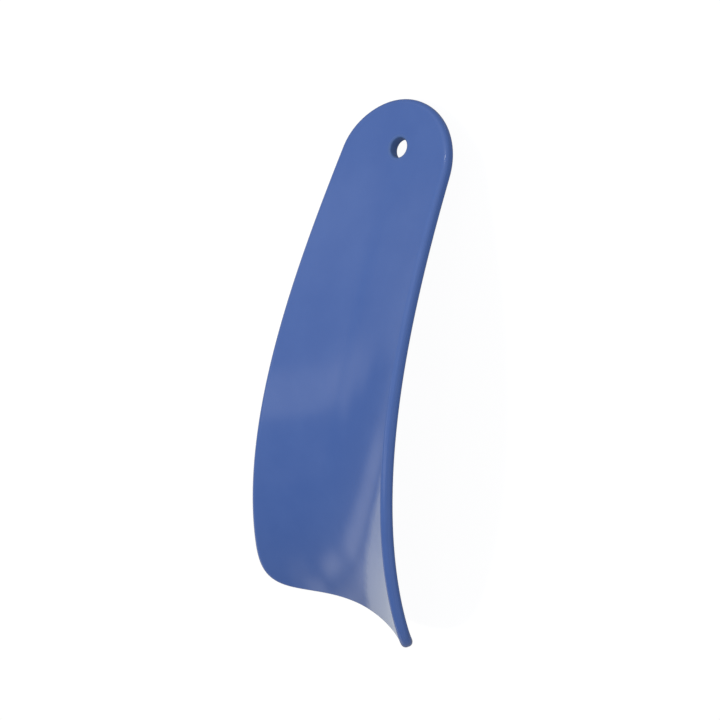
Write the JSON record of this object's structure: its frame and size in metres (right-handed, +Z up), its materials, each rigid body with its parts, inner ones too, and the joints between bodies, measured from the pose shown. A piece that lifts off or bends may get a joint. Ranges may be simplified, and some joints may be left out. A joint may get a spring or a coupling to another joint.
{
  "type": "hand shoehorn",
  "caption": "One-piece moulded plastic shoehorn: a slightly dished grip with a hanging hole widens into a curved, rounded scoop.",
  "frame": {"origin": "under the middle of the bounding box, on the surface that the shoehorn lies on", "axes": "+X along the length from the scoop to the grip, +Y across, +Z up out of the dished side, as it lies on its back"},
  "size_m": [0.1322, 0.0516, 0.0233],
  "materials": {
    "blue_plastic": "smooth gloss moulding"
  },
  "bodies": {
    "root": {"blade": "blue_plastic"}
  },
  "joints": []
}
